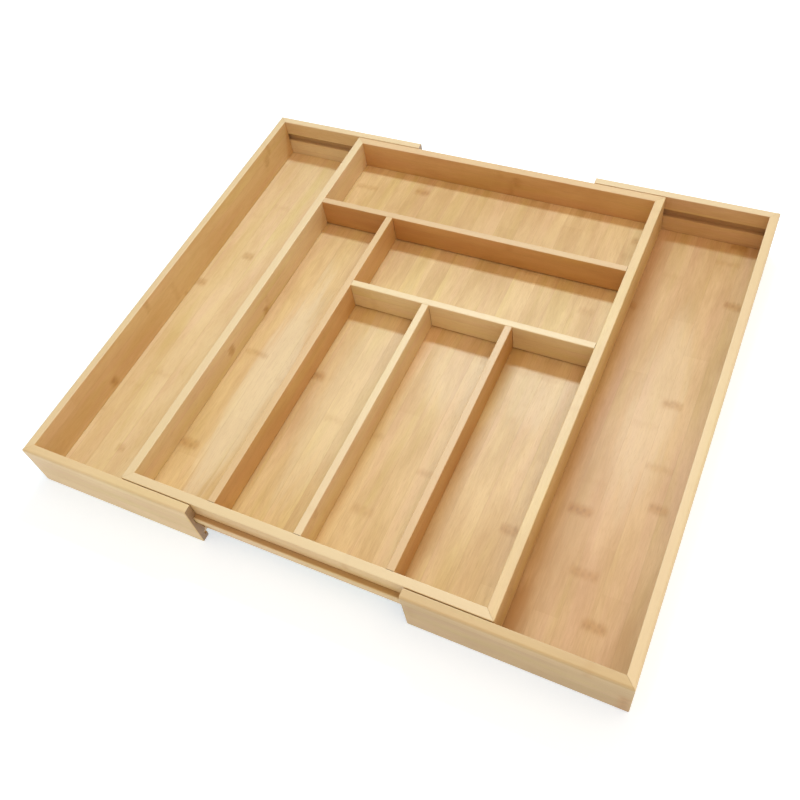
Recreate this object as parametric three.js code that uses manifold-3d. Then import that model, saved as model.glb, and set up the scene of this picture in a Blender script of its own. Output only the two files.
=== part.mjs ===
// Expandable bamboo drawer organizer: a fixed centre tray with two sliding U-shaped side trays.
// Millimetres. +X to the right, +Y to the rear, +Z up. The origin is on the ground under the middle.
// It is modelled with both side trays pulled out by the same amount.
import * as THREE from "three";
import { mergeVertices } from "three/addons/utils/BufferGeometryUtils.js";
import Module from "manifold-3d";

const wasm = await Module();
wasm.setup();

// ---- Driving dimensions ----
const TRAY_DEPTH = 450; // front to rear, over the side trays
const TRAY_HEIGHT = 49; // every rim is level
const BOARD = 8; // thickness of the walls and arms
const DIVIDER = 6.5; // thickness of the dividers
const PANEL = 4; // thickness of the base panels
const CENTER_WIDTH = 317; // centre tray, outside
const OPEN_HALF_WIDTH = 257; // from the middle to a side tray's outer face, as modelled
const ARM_END_X = 91; // from the middle to the free end of the arms, as modelled
const SIDE_CLEARANCE = 0.6; // centre tray to the arms, front and rear
const SIDE_FLOOR_Z = 8.5; // top of the side trays' base panels
const CENTER_FLOOR_Z = 20; // top of the centre tray's base panel
const CENTER_BOTTOM_Z = 9.5; // lower edge of the centre tray's walls
const REAR_DIVIDER_Y = 120.5; // middle plane of the rear cross divider
const MIDDLE_DIVIDER_Y = 31; // middle plane of the middle cross divider
const COLUMNS = 4; // equal columns across the centre tray

// ---- Joinery ----
const GLUE_GAP = 0.3; // between pieces that are glued together
const TIGHT_GAP = 0.1; // between glued faces that show at the rims
const PANEL_LET_IN = 3; // depth of the groove that holds a base panel
const DADO = 2.5; // depth of the slot that holds a divider's end
const DADO_STOP = 5; // the slot stops this far below the rim, so it doesn't show
const CROSS_DIVIDER_LIFT = 1.2; // the cross dividers stop this far above the base panel
const RAIL_LET_IN = 2; // how far a slide rail is let into its wall
const RAIL_OUT = 4.2; // how far it stands out of the wall
const RAIL_BOTTOM_Z = 26.2;
const RAIL_HEIGHT = 7.3;
const RAIL_SETBACK = 3; // a rail stops this far short of the centre tray's corners
const SLIDE_GROOVE_DEPTH = 4.2; // groove in the arms that the rail runs in
const SLIDE_GROOVE_BOTTOM_Z = 25.5;
const SLIDE_GROOVE_HEIGHT = 8.6;

// ---- Edges ----
const OUTER_ROUND = 2.2; // outer top edges of the side trays
const INNER_ROUND = 0.8; // every other top edge
const EASED = 0.7; // small chamfers elsewhere
const ARC_STEPS = 5;

// ---- Worked out ----
const CENTER_DEPTH = TRAY_DEPTH - 2 * (BOARD + SIDE_CLEARANCE);
const INNER_HALF_WIDTH = CENTER_WIDTH / 2 - BOARD;
const INNER_HALF_DEPTH = CENTER_DEPTH / 2 - BOARD;
const COLUMN = (2 * INNER_HALF_WIDTH - (COLUMNS - 1) * DIVIDER) / COLUMNS;
const PITCH = COLUMN + DIVIDER;
const LONG_CUT = 2 * OPEN_HALF_WIDTH + TRAY_DEPTH; // longer than any piece

const BAMBOO = { walls: 0xe6c792, arms: 0xe3c28c, dividers: 0xdfba80, panels: 0xdcb67c, rails: 0xd9b47c };

// ---- Solids ----

// A closed three.js geometry as a manifold-3d solid.
function solid(geometry) {
  const bare = geometry.index ? geometry.toNonIndexed() : geometry.clone();
  bare.deleteAttribute("normal");
  bare.deleteAttribute("uv");
  const merged = mergeVertices(bare, 1e-4);
  return new wasm.Manifold(
    new wasm.Mesh({
      numProp: 3,
      vertProperties: new Float32Array(merged.attributes.position.array),
      triVerts: new Uint32Array(merged.index.array),
    }),
  );
}

// A manifold-3d solid as a three.js geometry.
function geometryOf(made) {
  const mesh = made.getMesh();
  const geometry = new THREE.BufferGeometry();
  geometry.setAttribute("position", new THREE.BufferAttribute(new Float32Array(mesh.vertProperties), 3));
  geometry.setIndex(new THREE.BufferAttribute(new Uint32Array(mesh.triVerts), 1));
  geometry.computeVertexNormals();
  return geometry;
}

// A box between two corners.
function box(low, high) {
  const size = high.map((value, i) => value - low[i]);
  const geometry = new THREE.BoxGeometry(...size);
  geometry.translate(...low.map((value, i) => value + size[i] / 2));
  return solid(geometry);
}

// A plan outline of [x, y] points, counter-clockwise, standing from below the ground to above the rims.
function planPrism(points) {
  const outline = new THREE.Shape(points.map(([x, y]) => new THREE.Vector2(x, y)));
  const geometry = new THREE.ExtrudeGeometry(outline, { depth: 3 * TRAY_HEIGHT, bevelEnabled: false });
  geometry.translate(0, 0, -TRAY_HEIGHT);
  return solid(geometry);
}

// A cross-section of [inward, up] points run along X from one x to another. Inward is +Y, from face y.
function runAlongX(points, face, fromX, toX) {
  const section = new THREE.Shape(points.map(([inward, up]) => new THREE.Vector2(inward, up)));
  const geometry = new THREE.ExtrudeGeometry(section, { depth: toX - fromX, bevelEnabled: false });
  const along = new THREE.Vector3(1, 0, 0);
  geometry.applyMatrix4(
    new THREE.Matrix4()
      .makeBasis(new THREE.Vector3(0, 1, 0), new THREE.Vector3(0, 0, 1), along)
      .setPosition(fromX, face, 0),
  );
  return solid(geometry);
}

// ---- Profiles, as seen from the end of a board ----

// A quarter circle round [cx, cz], from one angle to another, in degrees.
function arc(cx, cz, radius, from, to) {
  return Array.from({ length: ARC_STEPS + 1 }, (_, i) => {
    const angle = THREE.MathUtils.degToRad(from + ((to - from) * i) / ARC_STEPS);
    return [cx + radius * Math.cos(angle), cz + radius * Math.sin(angle)];
  });
}

// A board on edge, its outer face at 0: rounded outer and inner top edges, eased lower edges.
function boardProfile(thickness, bottom, top, outerRound) {
  return [
    [EASED, bottom],
    [thickness - EASED, bottom],
    [thickness, bottom + EASED],
    ...arc(thickness - INNER_ROUND, top - INNER_ROUND, INNER_ROUND, 0, 90),
    ...arc(outerRound, top - outerRound, outerRound, 90, 180),
    [0, bottom + EASED],
  ];
}

// ---- Boards of a rectangular frame, each made as its front board and then turned into place ----

// The front wall of a frame, mitred at both ends, with the groove that holds the base panel.
function mitredWall(halfWidth, halfDepth, bottom, floorZ, outerRound) {
  const face = -halfDepth;
  const inner = face + BOARD;
  const trim = TIGHT_GAP / Math.SQRT2;
  const outline = [
    [-halfWidth + trim + EASED, face],
    [halfWidth - trim - EASED, face],
    [halfWidth - trim - EASED / 2, face + EASED / 2],
    [halfWidth - BOARD - trim, inner],
    [-halfWidth + BOARD + trim, inner],
    [-halfWidth + trim + EASED / 2, face + EASED / 2],
  ];
  return runAlongX(boardProfile(BOARD, bottom, TRAY_HEIGHT, outerRound), face, -halfWidth, halfWidth)
    .intersect(planPrism(outline))
    .subtract(panelGroove(inner, floorZ));
}

// The slot for a base panel in the inner face of a front board.
function panelGroove(inner, floorZ) {
  const low = [-LONG_CUT, inner - PANEL_LET_IN, floorZ - PANEL - GLUE_GAP];
  return box(low, [LONG_CUT, inner + BOARD, floorZ + GLUE_GAP]);
}

// A front arm: mitred where it meets the side wall, free at the other end, grooved for the slide rail.
// side is +1 for the arm that runs out to +X and -1 for the one that runs out to -X.
function slottedArm(side) {
  const face = -TRAY_DEPTH / 2;
  const inner = face + BOARD;
  const trim = TIGHT_GAP / Math.SQRT2;
  const outer = OPEN_HALF_WIDTH - trim;
  const outline = [
    [ARM_END_X + EASED, face],
    [outer - EASED, face],
    [outer - EASED / 2, face + EASED / 2],
    [outer - BOARD, inner],
    [ARM_END_X + EASED, inner],
    [ARM_END_X, inner - EASED],
    [ARM_END_X, face + EASED],
  ].map(([x, y]) => [side * x, y]);
  if (side < 0) outline.reverse();
  const slideGroove = box(
    [-LONG_CUT, inner - SLIDE_GROOVE_DEPTH, SLIDE_GROOVE_BOTTOM_Z],
    [LONG_CUT, inner + BOARD, SLIDE_GROOVE_BOTTOM_Z + SLIDE_GROOVE_HEIGHT],
  );
  return runAlongX(boardProfile(BOARD, 0, TRAY_HEIGHT, OUTER_ROUND), face, -OPEN_HALF_WIDTH, OPEN_HALF_WIDTH)
    .intersect(planPrism(outline))
    .subtract(panelGroove(inner, SIDE_FLOOR_Z))
    .subtract(slideGroove);
}

// The slot in a board for the end of a divider that stands across X at x, open at the bottom.
function dadoAcrossX(x, low, high) {
  const half = DIVIDER / 2 + GLUE_GAP;
  return box([x - half, low, 0], [x + half, high, TRAY_HEIGHT - DADO_STOP + GLUE_GAP]);
}

// ---- Dividers ----

// A divider with rounded top edges, run along X between two faces, with both ends let into their neighbours.
// Above the slots its ends only meet the faces.
function divider(fromX, toX, lift = GLUE_GAP) {
  const profile = boardProfile(DIVIDER, CENTER_FLOOR_Z + lift, TRAY_HEIGHT, INNER_ROUND);
  const notchZ = TRAY_HEIGHT - DADO_STOP;
  return runAlongX(profile, -DIVIDER / 2, fromX - DADO, toX + DADO)
    .subtract(box([fromX - 2 * DADO, -DIVIDER, notchZ], [fromX + TIGHT_GAP, DIVIDER, 2 * TRAY_HEIGHT]))
    .subtract(box([toX - TIGHT_GAP, -DIVIDER, notchZ], [toX + 2 * DADO, DIVIDER, 2 * TRAY_HEIGHT]));
}

// ---- Assembly ----

const organizer = new THREE.Group();
const centerTray = new THREE.Group();
const leftTray = new THREE.Group();
const rightTray = new THREE.Group();
organizer.add(centerTray, leftTray, rightTray);

// Names a solid, gives it its own material, turns it about Z by quarter turns and adds it to its tray.
function place(tray, name, made, color, quarterTurns = 0, x = 0, y = 0) {
  const material = new THREE.MeshStandardMaterial({ color, roughness: 0.5, metalness: 0 });
  const mesh = new THREE.Mesh(geometryOf(made), material);
  mesh.name = name;
  mesh.rotation.z = (quarterTurns * Math.PI) / 2;
  mesh.position.set(x, y, 0);
  tray.add(mesh);
}

// ---- Centre tray ----

// A wall of the centre tray, before its slots are cut.
function centerWall(halfWidth, halfDepth) {
  return mitredWall(halfWidth, halfDepth, CENTER_BOTTOM_Z, CENTER_FLOOR_Z, INNER_ROUND);
}

// A front or rear wall: a groove for the slide rail outside, and slots for dividers inside.
function centerEndWall(dividerXs) {
  const face = -CENTER_DEPTH / 2;
  const inner = face + BOARD;
  const railGroove = box(
    [-LONG_CUT, face - BOARD, RAIL_BOTTOM_Z - GLUE_GAP],
    [LONG_CUT, face + RAIL_LET_IN + GLUE_GAP, RAIL_BOTTOM_Z + RAIL_HEIGHT + GLUE_GAP],
  );
  let wall = centerWall(CENTER_WIDTH / 2, CENTER_DEPTH / 2).subtract(railGroove);
  for (const x of dividerXs) {
    wall = wall.subtract(dadoAcrossX(x, inner - DADO - GLUE_GAP, inner + BOARD));
  }
  return wall;
}

// A side wall, made as a front board: slots for the cross dividers at the given places along it.
function centerSideWall(slotXs) {
  const inner = -CENTER_WIDTH / 2 + BOARD;
  let wall = centerWall(CENTER_DEPTH / 2, CENTER_WIDTH / 2);
  for (const x of slotXs) {
    wall = wall.subtract(dadoAcrossX(x, inner - DADO - GLUE_GAP, inner + BOARD));
  }
  return wall;
}

const frontDividerXs = [-PITCH, 0, PITCH];
const longDividerX = frontDividerXs[0];
place(centerTray, "center_front_wall", centerEndWall(frontDividerXs), BAMBOO.walls);
place(centerTray, "center_rear_wall", centerEndWall([]), BAMBOO.walls, 2);
place(centerTray, "center_right_wall", centerSideWall([REAR_DIVIDER_Y, MIDDLE_DIVIDER_Y]), BAMBOO.walls, 1);
place(centerTray, "center_left_wall", centerSideWall([-REAR_DIVIDER_Y]), BAMBOO.walls, 3);

const centerPanelX = INNER_HALF_WIDTH + PANEL_LET_IN - GLUE_GAP;
const centerPanelY = INNER_HALF_DEPTH + PANEL_LET_IN - GLUE_GAP;
const centerPanel = box(
  [-centerPanelX, -centerPanelY, CENTER_FLOOR_Z - PANEL],
  [centerPanelX, centerPanelY, CENTER_FLOOR_Z],
);
place(centerTray, "center_base_panel", centerPanel, BAMBOO.panels);

// A strip with eased outer edges, let into the wall's outer face.
function slideRail() {
  const deep = RAIL_LET_IN + RAIL_OUT;
  const profile = [
    [EASED, 0],
    [deep, 0],
    [deep, RAIL_HEIGHT],
    [EASED, RAIL_HEIGHT],
    [0, RAIL_HEIGHT - EASED],
    [0, EASED],
  ].map(([inward, up]) => [inward, up + RAIL_BOTTOM_Z]);
  const reach = CENTER_WIDTH / 2 - RAIL_SETBACK;
  return runAlongX(profile, -CENTER_DEPTH / 2 - RAIL_OUT, -reach, reach);
}
place(centerTray, "front_slide_rail", slideRail(), BAMBOO.rails);
place(centerTray, "rear_slide_rail", slideRail(), BAMBOO.rails, 2);

// The rear cross divider spans the tray, and the long divider's end is let into its front face.
const rearCrossDivider = divider(-INNER_HALF_WIDTH, INNER_HALF_WIDTH, CROSS_DIVIDER_LIFT).subtract(
  dadoAcrossX(longDividerX, -BOARD, -DIVIDER / 2 + DADO + GLUE_GAP),
);
place(centerTray, "rear_cross_divider", rearCrossDivider, BAMBOO.dividers, 0, 0, REAR_DIVIDER_Y);

// The long divider runs from the rear cross divider to the front wall, along its own X before it is turned.
const longFrom = -INNER_HALF_DEPTH;
const longTo = REAR_DIVIDER_Y - DIVIDER / 2;
const longDivider = divider(longFrom, longTo).subtract(
  dadoAcrossX(MIDDLE_DIVIDER_Y, -BOARD, -DIVIDER / 2 + DADO + GLUE_GAP),
);
place(centerTray, "long_divider", longDivider, BAMBOO.dividers, 1, longDividerX);

// The middle cross divider runs from the long divider to the right wall.
const middleFrom = longDividerX + DIVIDER / 2;
let middleCrossDivider = divider(middleFrom, INNER_HALF_WIDTH, CROSS_DIVIDER_LIFT);
for (const x of frontDividerXs.slice(1)) {
  middleCrossDivider = middleCrossDivider.subtract(
    dadoAcrossX(x, -BOARD, -DIVIDER / 2 + DADO + GLUE_GAP),
  );
}
place(centerTray, "middle_cross_divider", middleCrossDivider, BAMBOO.dividers, 0, 0, MIDDLE_DIVIDER_Y);

// Two short dividers make the three front compartments to the right of the long divider.
const shortDivider = divider(-INNER_HALF_DEPTH, MIDDLE_DIVIDER_Y - DIVIDER / 2);
place(centerTray, "front_divider_left", shortDivider, BAMBOO.dividers, 1, frontDividerXs[1]);
place(centerTray, "front_divider_right", shortDivider, BAMBOO.dividers, 1, frontDividerXs[2]);

// ---- Side trays ----

// The long outer wall, the two arms that reach round the centre tray, and the base panel under it.
function sideTray(tray, side, word) {
  const wall = mitredWall(TRAY_DEPTH / 2, OPEN_HALF_WIDTH, 0, SIDE_FLOOR_Z, OUTER_ROUND);
  place(tray, `${word}_side_wall`, wall, BAMBOO.arms, side > 0 ? 1 : 3);
  place(tray, `${word}_front_arm`, slottedArm(side), BAMBOO.arms);
  place(tray, `${word}_rear_arm`, slottedArm(-side), BAMBOO.arms, 2);
  const nearX = ARM_END_X + 2 * EASED;
  const farX = OPEN_HALF_WIDTH - BOARD + PANEL_LET_IN - GLUE_GAP;
  const halfY = TRAY_DEPTH / 2 - BOARD + PANEL_LET_IN - GLUE_GAP;
  const xs = side > 0 ? [nearX, farX] : [-farX, -nearX];
  const panel = box([xs[0], -halfY, SIDE_FLOOR_Z - PANEL], [xs[1], halfY, SIDE_FLOOR_Z]);
  place(tray, `${word}_base_panel`, panel, BAMBOO.panels);
}
sideTray(leftTray, -1, "left");
sideTray(rightTray, 1, "right");

export default organizer;
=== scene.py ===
from math import cos, radians, sin

import bpy
from mathutils import Matrix, Vector

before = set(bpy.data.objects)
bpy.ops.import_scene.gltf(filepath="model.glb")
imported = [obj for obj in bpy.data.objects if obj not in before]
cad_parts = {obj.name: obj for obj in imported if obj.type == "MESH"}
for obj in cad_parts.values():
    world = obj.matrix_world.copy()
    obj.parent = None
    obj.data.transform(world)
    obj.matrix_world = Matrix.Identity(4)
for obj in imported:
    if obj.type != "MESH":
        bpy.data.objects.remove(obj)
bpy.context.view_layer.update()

MM = 0.001

# ---- Camera ----
CAMERA_TARGET = Vector((1.6, -43.3, 0)) * MM
CAMERA_DISTANCE = 751.75 * MM
CAMERA_AZIMUTH = 35.06
CAMERA_ELEVATION = 54.19
CAMERA_ROLL = -12.58
SENSOR = 36
LENS = 38.61

# ---- Light ----
SKY_STRENGTH = 0.62
SKY_COLOR = (1.0, 0.81, 0.61, 1)
HORIZON_COLOR = (1.6, 1.6, 1.6, 1)
HORIZON_FADE = (0.14, 0.36)  # sines of the elevations between which the horizon's white fades
KEY_PLACE = (-0.06, 0.45, 0.75)
KEY_SIZE = (0.40, 0.07)
KEY_POWER = 4.9
KEY_COLOR = (0.74, 0.99, 1.14)
SOFTBOX_PLACE = (0.45, -0.1, 1.2)
SOFTBOX_SIZE = (1.2, 1.2)
SOFTBOX_POWER = 4.2
SOFTBOX_COLOR = (1.0, 0.70, 0.47)
GROUND_SIZE = 60.0
GROUND_COLOR = (0.86, 0.95, 1.0, 1)
GROUND_GLOW_COLOR = (0.8, 1.0, 1.27, 1)
GROUND_GLOW = 0.41
GROUND_ROUGHNESS = 0.9

# ---- Edges ----
WELD_DISTANCE = 0.01 * MM
EDGE_WIDTH = 0.2 * MM
EDGE_SEGMENTS = 3
EDGE_ANGLE = 40

X, Y, Z = 0, 1, 2


# ---- Node trees ----

class Shader:
    """A node tree in the making. Each call adds one node and returns one of its outputs."""

    def __init__(self, tree):
        self.tree = tree

    def node(self, kind, inputs=(), output=0, **settings):
        made = self.tree.nodes.new("ShaderNode" + kind)
        for name, value in settings.items():
            setattr(made, name, value)
        for key, value in dict(inputs).items():
            if isinstance(value, bpy.types.NodeSocket):
                self.tree.links.new(value, made.inputs[key])
            else:
                made.inputs[key].default_value = value
        return made.outputs[output]

    def finish(self, surface):
        self.tree.links.new(surface, self.tree.nodes.new("ShaderNodeOutputMaterial").inputs["Surface"])

    def math(self, operation, *values):
        return self.node("Math", enumerate(values), operation=operation)

    def ramp(self, value, low, high, to_low=0.0, to_high=1.0):
        """value from low to high, as to_low to to_high, with soft ends and clamped."""
        inputs = {0: value, 1: low, 2: high, 3: to_low, 4: to_high}
        return self.node("MapRange", inputs, interpolation_type="SMOOTHSTEP")

    def mix(self, factor, first, second, blend="MIX"):
        inputs = {0: factor, 6: first, 7: second}
        return self.node("Mix", inputs, output=2, data_type="RGBA", blend_type=blend)

    def vector(self, x, y, z):
        return self.node("CombineXYZ", {0: x, 1: y, 2: z})

    def noise(self, place, sizes, detail=2.0, roughness=0.5):
        """Noise whose blobs are about sizes = (along, across, through) millimetres."""
        scaled = self.vector(*(self.math("DIVIDE", part, size) for part, size in zip(place, sizes)))
        inputs = {"Vector": scaled, "Scale": 1.0, "Detail": detail, "Roughness": roughness}
        return self.node("TexNoise", inputs)


# ---- Bamboo ----

# Light and dark strip colours of each tone, linear.
TONES = {
    "pale": ((0.88, 0.74, 0.45, 1), (0.79, 0.62, 0.33, 1)),
    "cream": ((0.82, 0.65, 0.38, 1), (0.70, 0.51, 0.26, 1)),
    "straw": ((0.77, 0.57, 0.29, 1), (0.65, 0.44, 0.19, 1)),
    "wheat": ((0.77, 0.57, 0.28, 1), (0.60, 0.40, 0.17, 1)),
    "gold": ((0.73, 0.52, 0.25, 1), (0.63, 0.40, 0.16, 1)),
    "dun": ((0.57, 0.39, 0.165, 1), (0.46, 0.295, 0.11, 1)),
    "honey": ((0.71, 0.49, 0.25, 1), (0.56, 0.35, 0.15, 1)),
    "toffee": ((0.69, 0.43, 0.18, 1), (0.57, 0.31, 0.11, 1)),
    "amber": ((0.64, 0.37, 0.14, 1), (0.51, 0.26, 0.08, 1)),
    "russet": ((0.60, 0.32, 0.11, 1), (0.48, 0.22, 0.06, 1)),
}
RIM_COLOR = (0.79, 0.67, 0.44, 1)
FIBRE_COLOR = (0.40, 0.22, 0.09, 1)
MARK_COLOR = (0.45, 0.21, 0.035, 1)
MARK_DOT_COLOR = (0.24, 0.10, 0.02, 1)
# Cut ends: a darker end-grain tone deepened with painted shade.
END_GRAIN_AND_SHADE_COLOR = (0.30, 0.18, 0.09, 1)
END_DOT_COLOR = (0.17, 0.09, 0.04, 1)
# Painted shade, for the inside of the arms' grooves and the rails' tops.
PAINTED_SHADE_COLOR = (0.32, 0.15, 0.05, 1)
# Patches go toward the first for paler wood and painted sheen, and toward the second for deeper wood and
# painted shade.
PALE_TONE_AND_SHEEN_COLOR = (0.90, 0.80, 0.58, 1)
DEEP_TONE_AND_SHADE_COLOR = (0.52, 0.30, 0.11, 1)
PINK = (1.0, 0.96, 1.04, 1)
OLIVE = (0.97, 1.0, 0.88, 1)

# Lengths are in millimetres. SIZES are a noise's, as (along, across, through) the grain.
# A RANGE is where a value starts and stops to count.
SEED_COUNT = 97
STRIP_UNEVENNESS = 0.45
STRIP_SHIFT = 900.0  # how far the figure may be moved along from strip to strip
SEAM_RANGE = (0.05, 0.5)
WANDER_SIZES = (120, 30, 30)
WANDER = 9.0  # how far the fibres wander across the grain
STREAK_SIZES, STREAK_RANGE, STREAK_DETAIL = (55, 6, 6), (0.28, 0.72), 3.0
HAIR_SIZES, HAIR_RANGE, HAIR_DETAIL, HAIR_HARSHNESS = (12, 1.1, 1.1), (0.25, 0.75), 3.0, 0.6
BROAD_SIZES, BROAD_RANGE = (70, 20, 20), (0.30, 0.70)
FIBRE_SIZES, FIBRE_RANGE, FIBRE_DETAIL = (7, 0.45, 0.45), (0.52, 0.72), 1.0
HUE_SIZES, PINK_RANGE, OLIVE_RANGE = (130, 15, 15), (0.50, 0.70), (0.50, 0.30)
HUE_SHIFT = 400.0  # keeps the hue's noise apart from the tone's

# Growth nodes: bands across a strip with a row of dots.
NODE_PERIOD = 230.0  # from one growth node of the cane to the next
INTERNODE_SEED = 57.0
NODE_SPREAD = 3 * NODE_PERIOD  # how far a strip's nodes are moved, at most
RAGGED_SIZES = (14, 3, 3)
RAGGED = 5.0  # how far a band's edge wanders along the grain
BAND_LENGTH = 5.5  # half of a band's length, along the grain
BAND_RANGE = (0.3, 1.0)  # of the strip's random number that chooses how strong its bands are
BAND_AMOUNTS = (0.05, 0.42)  # the faintest and the strongest band that isn't a placed mark
MARK_LENGTHS = (0.5, 1.3 * BAND_LENGTH)  # where a placed mark starts and ends to fade, along the grain
MARK_WIDTHS = (0.35, 0.6)  # the same across the grain, in parts of the mark's width
DOT_SIZES = (5.0, 3.6)
DOT_RANGE = (0.12, 0.62)

# How strongly each part of the figure sets the tone, and how much each colour covers.
STRIP_TONE, CANE_TONE, STREAK_TONE, BROAD_TONE, HAIR_TONE = 0.48, 0.36, 0.30, 0.55, 0.36
FIBRE_COVER, SEAM_COVER, BAND_COVER, DOT_COVER = 0.17, 0.18, 0.62, 0.26
# The groove's and the top's covers are for painted shade; the end's darkens cut ends with their own tone
# deepened by painted shade.
RIM_COVER, GROOVE_SHADE_COVER, TOP_SHADE_COVER, END_GRAIN_AND_SHADE_COVER, BUNDLE_COVER = 0.65, 0.5, 0.55, 0.8, 0.6
PATCH_RANGE, PATCH_RAGGED = (0.5, 1.1), 0.9  # in parts of a patch's half size

# Where the sanded rims start, and where the slide grooves lie in the arms, whose insides are painted in
# shade (distance from the middle in Y).
RIM_HEIGHT = (46.4, 48.2)
GROOVE_IN = (217.3, 218.6)
GROOVE_OUT = (223.9, 224.7)
GROOVE_TOP = (40.0, 43.0)

# How far a surface has to face up to count as a rim or a top, and along the grain to count as an end.
RIM_FACING, TOP_FACING, END_FACING = (0.15, 0.75), (0.6, 0.9), (0.75, 0.95)
BUNDLES_PER_MM, BUNDLE_RANGE = 1.5, (0.16, 0.40)

# Satin lacquer, and the heights of the relief in millimetres.
ROUGHNESS, HAIR_ROUGHNESS, FIBRE_ROUGHNESS = 0.42, 0.16, 0.08
FIBRE_RELIEF, HAIR_RELIEF, SEAM_RELIEF, BAND_RELIEF = -0.015, 0.03, -0.03, 0.04
LACQUER = {"IOR": 1.5, "Coat Weight": 0.3, "Coat Roughness": 0.42}


class Bamboo(Shader):
    """The node tree of a bamboo material. It keeps the places and masks that several layers use."""

    def __init__(self, tree, name, grain, across, strip):
        super().__init__(tree)
        through = 3 - grain - across
        place = self.node("SeparateXYZ", {0: self.node("TexCoord", output="Object")}).node.outputs
        self.place = [self.math("MULTIPLY", place[axis], 1 / MM) for axis in (X, Y, Z)]
        self.normal = self.node("SeparateXYZ", {0: self.node("TexCoord", output="Normal")}).node.outputs
        self.grain = grain
        self.along, self.across, self.through = (self.place[axis] for axis in (grain, across, through))
        self.make_strips(sum(name.encode()) % SEED_COUNT, strip)

    def scaled(self, value, factor):
        return self.math("MULTIPLY", value, factor)

    def centred(self, noise, size):
        """Noise from 0 to 1, as -size / 2 to size / 2."""
        return self.scaled(self.math("SUBTRACT", noise, 0.5), size)

    def cover(self, mask, amount, under, over):
        return self.mix(self.scaled(mask, amount), under, over)

    def make_strips(self, seed, strip):
        """Each strip has its own tone and piece of cane. The seams are straight and the fibres wander."""
        strip_at = self.math("ADD", self.math("DIVIDE", self.across, strip), seed)
        cells = {"W": strip_at, "Scale": 1.0, "Randomness": STRIP_UNEVENNESS}
        strips = self.node("TexVoronoi", cells, output="Color", voronoi_dimensions="1D")
        self.random = self.node("SeparateColor", {0: strips}).node.outputs
        edge = self.node("TexVoronoi", cells, voronoi_dimensions="1D", feature="DISTANCE_TO_EDGE")
        self.seam = self.ramp(self.scaled(edge, strip), *SEAM_RANGE, 1.0, 0.0)
        wander = self.noise((self.along, self.across, self.through), WANDER_SIZES)
        self.bent = self.math("ADD", self.across, self.centred(wander, WANDER))
        self.cane_along = self.math("ADD", self.along, self.scaled(self.random[0], STRIP_SHIFT))
        self.cane = (self.cane_along, self.bent, self.through)

    def make_growth_nodes(self, marks):
        """In each strip the cane's tone changes at a growth node, with a soft band and a row of dots."""
        from_start = self.math("ADD", self.along, self.scaled(self.random[2], NODE_SPREAD))
        internode = self.math("FLOOR", self.math("ADD", self.math("DIVIDE", from_start, NODE_PERIOD), 0.5))
        cane_seed = self.math("ADD", internode, self.scaled(self.random[0], INTERNODE_SEED))
        self.cane_tone = self.node("TexWhiteNoise", {"W": cane_seed}, noise_dimensions="1D")
        ragged = self.centred(self.noise(self.cane, RAGGED_SIZES), RAGGED)
        from_node = self.math("WRAP", from_start, -NODE_PERIOD / 2, NODE_PERIOD / 2)
        from_node = self.math("ABSOLUTE", self.math("ADD", from_node, ragged))
        band = self.ramp(from_node, 0.0, BAND_LENGTH, 1.0, 0.0)
        band = self.math("MULTIPLY", band, self.ramp(self.random[1], *BAND_RANGE, *BAND_AMOUNTS))
        for mark_along, mark_across, width, amount in marks:
            d_along = self.math("ADD", self.math("SUBTRACT", self.along, mark_along), ragged)
            d_along = self.math("ABSOLUTE", d_along)
            d_across = self.math("ABSOLUTE", self.math("SUBTRACT", self.bent, mark_across))
            widths = (part * width for part in MARK_WIDTHS)
            here = self.ramp(d_along, *MARK_LENGTHS, amount, 0.0)
            here = self.math("MULTIPLY", here, self.ramp(d_across, *widths, 1.0, 0.0))
            band = self.math("MAXIMUM", band, here)
        self.band = band
        dot_at = (self.math("DIVIDE", part, size) for part, size in zip(self.cane, DOT_SIZES))
        dot_place = self.vector(*dot_at, 0.0)
        dots = self.node("TexVoronoi", {"Vector": dot_place, "Scale": 1.0}, voronoi_dimensions="2D")
        self.dotted = self.math("MULTIPLY", band, self.ramp(dots, *DOT_RANGE, 1.0, 0.0))

    def make_grain(self):
        """Streaks a few millimetres wide, fine hairs, broad soft changes and short fibres."""
        self.streaks = self.noise(self.cane, STREAK_SIZES, STREAK_DETAIL)
        self.hairs = self.noise(self.cane, HAIR_SIZES, HAIR_DETAIL, HAIR_HARSHNESS)
        self.broad = self.noise((self.along, self.bent, self.through), BROAD_SIZES)
        self.fibres = self.ramp(self.noise(self.cane, FIBRE_SIZES, FIBRE_DETAIL), *FIBRE_RANGE)

    def wood_color(self, tone, contrast):
        """From the tone's dark to its light colour by the figure, with pinker and greener places."""
        tone_parts = (
            (self.random[1], STRIP_TONE),
            (self.cane_tone, CANE_TONE),
            (self.ramp(self.streaks, *STREAK_RANGE), STREAK_TONE),
            (self.ramp(self.broad, *BROAD_RANGE), BROAD_TONE),
            (self.ramp(self.hairs, *HAIR_RANGE), HAIR_TONE),
        )
        total = 0.5 * (1 - contrast * sum(weight for _, weight in tone_parts))
        for value, weight in tone_parts:
            total = self.math("ADD", self.scaled(value, weight * contrast), total)
        light, dark = TONES[tone]
        color = self.mix(total, dark, light)
        hue_along = self.math("ADD", self.cane_along, HUE_SHIFT)
        hue = self.noise((hue_along, self.bent, self.through), HUE_SIZES)
        color = self.mix(self.ramp(hue, *PINK_RANGE), color, PINK, "MULTIPLY")
        return self.mix(self.ramp(hue, *OLIVE_RANGE), color, OLIVE, "MULTIPLY")

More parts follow.
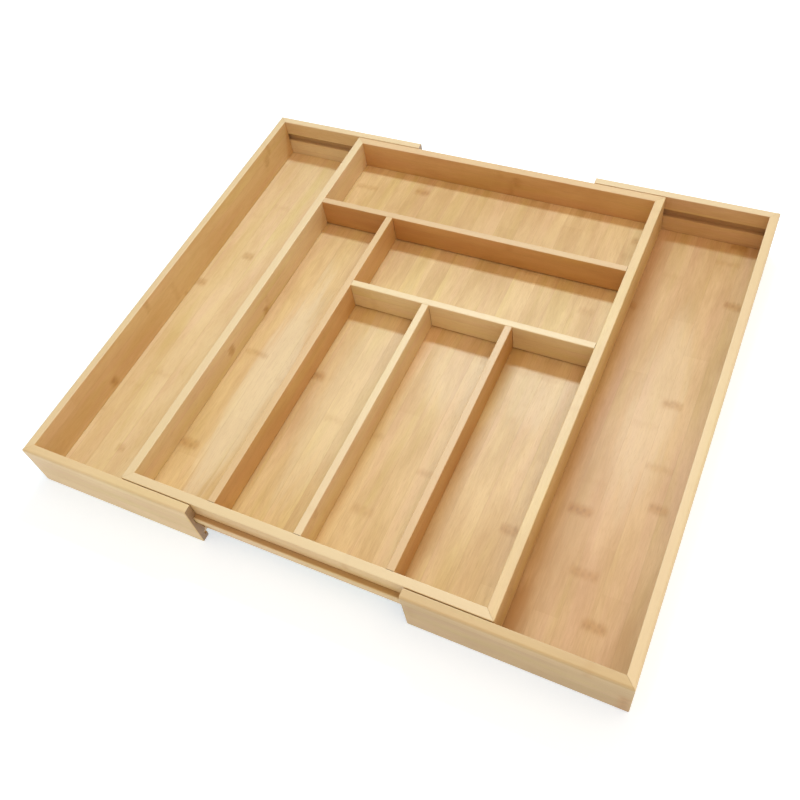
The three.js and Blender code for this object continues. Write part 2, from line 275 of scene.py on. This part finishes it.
    def add_tone_sheen_and_shade_patches(self, color, patches):
        """Paler (+) or deeper (-) areas with ragged edges. Some are the wood's own tone, some are painted
        sheen and painted shade.
        """
        for patch_along, patch_across, length, width, amount in patches:
            d_along = self.math("DIVIDE", self.math("SUBTRACT", self.along, patch_along), length / 2)
            d_across = self.math("DIVIDE", self.math("SUBTRACT", self.bent, patch_across), width / 2)
            d_both = self.vector(d_along, d_across, 0.0)
            away = self.node("VectorMath", {0: d_both}, output="Value", operation="LENGTH")
            away = self.math("ADD", away, self.centred(self.streaks, PATCH_RAGGED))
            toward = PALE_TONE_AND_SHEEN_COLOR if amount > 0 else DEEP_TONE_AND_SHADE_COLOR
            color = self.mix(self.ramp(away, *PATCH_RANGE, abs(amount), 0.0), color, toward)
        return color

    def add_figure(self, color):
        color = self.cover(self.fibres, FIBRE_COVER, color, FIBRE_COLOR)
        color = self.cover(self.seam, SEAM_COVER, color, FIBRE_COLOR)
        color = self.cover(self.band, BAND_COVER, color, MARK_COLOR)
        return self.cover(self.dotted, DOT_COVER, color, MARK_DOT_COLOR)

    def add_rim(self, color, rim):
        """The sanded upper rims are paler."""
        sanded = self.ramp(self.place[Z], *RIM_HEIGHT)
        sanded = self.math("MULTIPLY", sanded, self.ramp(self.normal[Z], *RIM_FACING))
        return self.cover(sanded, rim, color, RIM_COLOR)

    def add_raw_wood(self, color, raw):
        """Painted shade: darker inside an arm's groove, and on a rail's top under the wall."""
        if raw == "groove":
            from_middle = self.math("ABSOLUTE", self.place[Y])
            inside = self.ramp(from_middle, *GROOVE_IN)
            inside = self.math("MULTIPLY", inside, self.ramp(from_middle, *GROOVE_OUT, 1.0, 0.0))
            inside = self.math("MULTIPLY", inside, self.ramp(self.place[Z], *GROOVE_TOP, 1.0, 0.0))
            color = self.cover(inside, GROOVE_SHADE_COVER, color, PAINTED_SHADE_COLOR)
        if raw == "top":
            color = self.mix(self.ramp(self.normal[Z], *TOP_FACING, 0.0, TOP_SHADE_COVER), color, PAINTED_SHADE_COLOR)
        return color

    def add_end_grain_and_shade(self, color):
        """Cut ends are darker, partly their own end-grain tone and partly painted shade, and show the fibre
        bundles as dots.
        """
        end = self.ramp(self.math("ABSOLUTE", self.normal[self.grain]), *END_FACING)
        color = self.cover(end, END_GRAIN_AND_SHADE_COVER, color, END_GRAIN_AND_SHADE_COLOR)
        end_at = (self.scaled(part, BUNDLES_PER_MM) for part in (self.across, self.through))
        end_place = self.vector(*end_at, 0.0)
        bundles = self.node("TexVoronoi", {"Vector": end_place, "Scale": 1.0}, voronoi_dimensions="2D")
        bundle = self.math("MULTIPLY", self.ramp(bundles, *BUNDLE_RANGE, 1.0, 0.0), end)
        return self.cover(bundle, BUNDLE_COVER, color, END_DOT_COLOR)

    def finish_wood(self, color):
        """Satin lacquer over a fine-grained surface."""
        rough = self.math(
            "ADD", self.scaled(self.hairs, HAIR_ROUGHNESS), self.scaled(self.fibres, FIBRE_ROUGHNESS),
        )
        rough = self.math("ADD", rough, ROUGHNESS)
        relief = self.math(
            "ADD", self.scaled(self.fibres, FIBRE_RELIEF), self.scaled(self.hairs, HAIR_RELIEF),
        )
        relief = self.math("ADD", relief, self.scaled(self.seam, SEAM_RELIEF))
        relief = self.math("ADD", relief, self.scaled(self.band, BAND_RELIEF))
        bump = self.node("Bump", {"Strength": 1.0, "Distance": MM, "Height": relief})
        settings = {"Base Color": color, "Roughness": rough, "Normal": bump, **LACQUER}
        self.finish(self.node("BsdfPrincipled", settings))


def bamboo(name, grain, across, tone, strip=20.0, contrast=1.0, marks=(), patches=(), rim=RIM_COVER, raw=""):
    """Laminated bamboo with its grain along one axis, in strips side by side across another.
    marks are growth nodes that show strongly: (along, across, width, amount).
    patches are paler (+) or deeper (-) areas, some the wood's own tone, some painted sheen and painted
    shade: (along, across, length, width, amount).
    rim is how pale the sanded top edge is, and the last argument says where shade is painted in: inside the
    groove, or on the top."""
    material = bpy.data.materials.new(name)
    material.use_nodes = True
    material.node_tree.nodes.clear()
    wood = Bamboo(material.node_tree, name, grain, across, strip)
    wood.make_growth_nodes(marks)
    wood.make_grain()
    color = wood.wood_color(tone, contrast)
    color = wood.add_tone_sheen_and_shade_patches(color, patches)
    color = wood.add_figure(color)
    color = wood.add_rim(color, rim)
    color = wood.add_raw_wood(color, raw)
    color = wood.add_end_grain_and_shade(color)
    wood.finish_wood(color)
    return material


# ---- The pieces: which way each one's grain runs, its tone, and its strong node marks ----

def board(grain, tone, strip=22.0, contrast=0.85, **more):
    return dict(grain=grain, across=Z, tone=tone, strip=strip, contrast=contrast, **more)


def panel(tone, **more):
    return dict(grain=Y, across=X, tone=tone, **more)


PIECES = {
    "center_front_wall": board(X, "gold", rim=0.8),
    "center_rear_wall": board(X, "toffee", marks=[(17, 38, 12, 0.6)], rim=0.5),
    "center_left_wall": board(Y, "cream", marks=[(-7, 24, 9, 0.8), (-65, 32, 10, 0.8)]),
    "center_right_wall": board(Y, "wheat", rim=0.4),
    "center_base_panel": panel(
        "wheat",
        marks=[
            (187, -77, 17, 0.75), (183, 146, 14, 0.6), (-56, -70, 13, 0.9), (-157, -142, 18, 0.7),
            (-161, 26, 20, 0.35), (-136, 137, 16, 0.65), (87, 126, 14, 0.35),
        ],
        # Painted sheen: the patches at (0, 45) and (0, 118). Painted shade: the patch at (165, 0) over the
        # rear compartment and the one at (16, 90) in front of the middle cross divider.
        patches=[
            (-80, -114, 300, 40, 0.5), (-60, -36, 260, 60, 0.25), (0, 45, 120, 60, 0.2),
            (0, 118, 110, 60, 0.2), (165, 0, 90, 360, -0.3), (-150, 130, 90, 40, -0.15),
            (16, 90, 30, 150, -0.3),
        ],
    ),
    # The rails' tops are painted in shade.
    "front_slide_rail": board(X, "straw", raw="top"),
    "rear_slide_rail": board(X, "straw", raw="top"),
    "rear_cross_divider": board(X, "russet", rim=0.55),
    "long_divider": board(Y, "toffee", rim=0.45),
    "middle_cross_divider": board(X, "pale", patches=[(122, 34, 110, 80, -0.25)]),
    "front_divider_left": board(Y, "cream"),
    "front_divider_right": board(Y, "amber", rim=0.5),
    "left_side_wall": board(Y, "gold", marks=[(170, 34, 14, 0.55), (-123, 16, 12, 0.9)]),
    # The arms' grooves are painted in shade inside.
    "left_front_arm": board(X, "straw", raw="groove", rim=0.5),
    "left_rear_arm": board(X, "cream", raw="groove", patches=[(-190, 12, 220, 30, 0.45)]),
    "left_base_panel": panel(
        "cream", marks=[(61, -216, 12, 0.55), (15, -245, 14, 0.6), (-178, -207, 10, 0.4)],
    ),
    "right_side_wall": board(Y, "straw"),
    "right_front_arm": board(X, "dun", raw="groove", marks=[(252, 14, 30, 0.9)], rim=0.35),
    "right_rear_arm": board(X, "honey", raw="groove", rim=0.8),
    "right_base_panel": panel(
        "honey",
        marks=[
            (-95, 181, 20, 1.0), (-144, 200, 22, 0.6), (-180, 218, 20, 0.75), (-74, 234, 14, 0.75),
            (23, 220, 18, 0.6), (116, 158, 14, 0.6), (142, 241, 16, 0.8), (214, 229, 16, 0.8),
        ],
        # Painted sheen: the patch at (20, 208). Painted shade: the patches at (110, 172) and (-100, 182)
        # along the foot of the centre tray's wall.
        patches=[
            (20, 208, 240, 44, 0.22), (110, 172, 180, 22, -0.3), (-100, 182, 150, 34, -0.3),
            (-196, 241, 70, 22, -0.45), (-192, 162, 64, 20, -0.95),
        ],
    ),
}


def finer_edges(piece):
    """Joins the mesh's split corners and rounds the edges that are still sharp."""
    weld = piece.modifiers.new("weld", "WELD")
    weld.merge_threshold = WELD_DISTANCE
    bevel = piece.modifiers.new("edges", "BEVEL")
    bevel.width = EDGE_WIDTH
    bevel.segments = EDGE_SEGMENTS
    bevel.limit_method = "ANGLE"
    bevel.angle_limit = radians(EDGE_ANGLE)
    bevel.use_clamp_overlap = True
    normals = piece.modifiers.new("normals", "WEIGHTED_NORMAL")
    normals.keep_sharp = False


for name, settings in PIECES.items():
    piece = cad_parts[name]
    material = bamboo("bamboo_" + name, **settings)
    for material_slot in piece.material_slots:
        material_slot.material = material
    for face in piece.data.polygons:
        face.use_smooth = True
    finer_edges(piece)


# ---- Ground, light and camera ----

def make_ground():
    half = GROUND_SIZE / 2
    mesh = bpy.data.meshes.new("ground")
    corners = [(-half, -half, 0), (half, -half, 0), (half, half, 0), (-half, half, 0)]
    mesh.from_pydata(corners, [], [(0, 1, 2, 3)])
    ground = bpy.data.objects.new("ground", mesh)
    bpy.context.collection.objects.link(ground)
    material = bpy.data.materials.new("pale_ground")
    material.use_nodes = True
    surface = material.node_tree.nodes["Principled BSDF"]
    surface.inputs["Base Color"].default_value = GROUND_COLOR
    surface.inputs["Roughness"].default_value = GROUND_ROUGHNESS
    surface.inputs["Emission Color"].default_value = GROUND_GLOW_COLOR
    surface.inputs["Emission Strength"].default_value = GROUND_GLOW
    mesh.materials.append(material)


def area_light(name, place, size, power, color, even=False):
    """An oval soft light aimed at the tray, size = (width, depth).
    An even one doesn't weaken with distance."""
    light = bpy.data.lights.new(name, "AREA")
    light.shape = "ELLIPSE"
    light.size, light.size_y = size
    light.energy = power
    light.color = color
    if even:
        light.use_nodes = True
        emission = light.node_tree.nodes["Emission"]
        falloff = light.node_tree.nodes.new("ShaderNodeLightFalloff")
        falloff.inputs["Strength"].default_value = 1
        light.node_tree.links.new(falloff.outputs["Constant"], emission.inputs["Strength"])
    lamp = bpy.data.objects.new(name, light)
    bpy.context.collection.objects.link(lamp)
    lamp.location = place
    lamp.rotation_euler = (-Vector(place)).to_track_quat("-Z", "Y").to_euler()


def make_world():
    world = bpy.data.worlds.new("room")
    bpy.context.scene.world = world
    world.use_nodes = True
    s = Shader(world.node_tree)
    height = s.node("SeparateXYZ", {0: s.node("TexCoord", output="Generated")}, output="Z")
    color = s.mix(s.ramp(height, *HORIZON_FADE), HORIZON_COLOR, SKY_COLOR)
    background = world.node_tree.nodes["Background"]
    world.node_tree.links.new(color, background.inputs["Color"])
    background.inputs["Strength"].default_value = SKY_STRENGTH


def make_camera():
    azimuth, elevation, roll = map(radians, (CAMERA_AZIMUTH, CAMERA_ELEVATION, CAMERA_ROLL))
    back = Vector((sin(azimuth) * cos(elevation), -cos(azimuth) * cos(elevation), sin(elevation)))
    level_right = Vector((cos(azimuth), sin(azimuth), 0))
    level_up = back.cross(level_right)
    right = level_right * cos(roll) + level_up * sin(roll)
    up = level_up * cos(roll) - level_right * sin(roll)
    data = bpy.data.cameras.new("camera")
    data.sensor_width = SENSOR
    data.lens = LENS
    camera = bpy.data.objects.new("camera", data)
    bpy.context.collection.objects.link(camera)
    turned = Matrix((right, up, back)).transposed().to_4x4()
    camera.matrix_world = Matrix.Translation(CAMERA_TARGET + back * CAMERA_DISTANCE) @ turned
    bpy.context.scene.camera = camera


make_ground()
area_light("key", KEY_PLACE, KEY_SIZE, KEY_POWER, KEY_COLOR, even=True)
area_light("softbox", SOFTBOX_PLACE, SOFTBOX_SIZE, SOFTBOX_POWER, SOFTBOX_COLOR)
make_world()
make_camera()
bpy.context.scene.view_settings.view_transform = "Standard"
